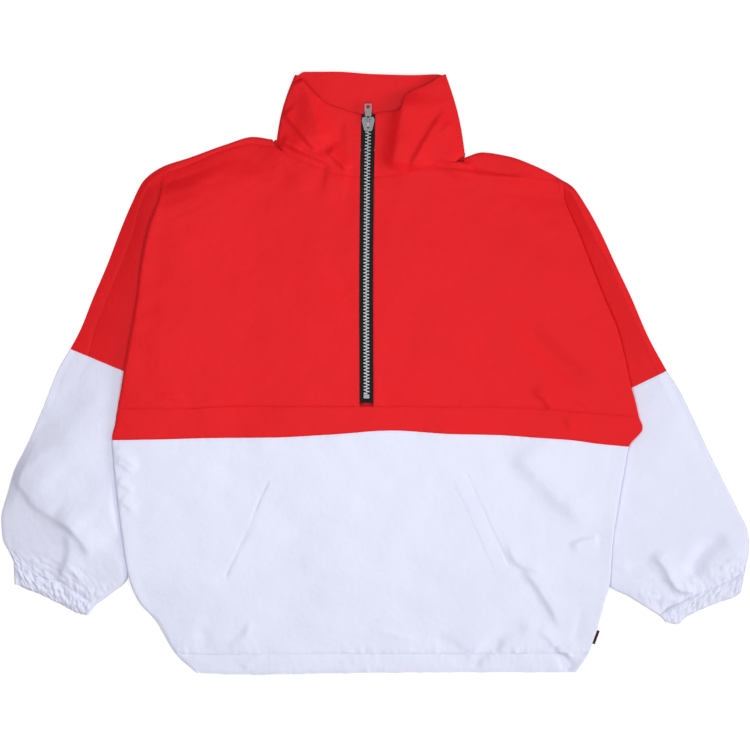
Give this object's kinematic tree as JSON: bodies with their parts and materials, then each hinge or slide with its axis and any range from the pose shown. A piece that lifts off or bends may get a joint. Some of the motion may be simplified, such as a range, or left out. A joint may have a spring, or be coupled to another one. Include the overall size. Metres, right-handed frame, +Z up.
{
  "type": "pullover windbreaker",
  "caption": "Half-zip pullover windbreaker with a stand collar, laid flat on its back; red over white woven shell, side welt pockets and gathered cuffs.",
  "frame": {"origin": "middle of the bounding box in plan, on the surface the garment lies on", "axes": "+X across the body towards the right of the picture, +Y from hem to collar, +Z up off the surface"},
  "size_m": [0.8976, 0.7232, 0.0159],
  "materials": {
    "red_cloth": "plain woven polyamide, soft sheen",
    "white_cloth": "plain woven polyamide, soft sheen",
    "black_tape": "matt woven zip tape",
    "maroon_cloth": "matt woven ribbon, blank",
    "steel": "nickel-plated zip parts"
  },
  "bodies": {
    "garment": {"back_lower": "white_cloth", "back_upper": "red_cloth", "collar": "red_cloth", "cuff_left": "white_cloth", "cuff_right": "white_cloth", "front_band": "red_cloth", "front_lower": "white_cloth", "front_upper_left": "red_cloth", "front_upper_right": "red_cloth", "hem_casing_back": "white_cloth", "hem_casing_front": "white_cloth", "pocket_welt_left": "white_cloth", "pocket_welt_right": "white_cloth", "side_label": "maroon_cloth", "sleeve_lower_left": "white_cloth", "sleeve_lower_right": "white_cloth", "zip_bottom_stop": "steel", "zip_chain": "steel", "zip_slider": "steel", "zip_tape_left": "black_tape", "zip_tape_right": "black_tape"},
    "zip_pull": {"zip_pull": "steel"}
  },
  "joints": [
    {"name": "pull_swing", "type": "hinge", "parent": "garment", "child": "zip_pull", "pos_m": [-0.00825, 0.30409, 0.01225], "axis": [1, 0, 0], "range_deg": [0, 145]}
  ]
}
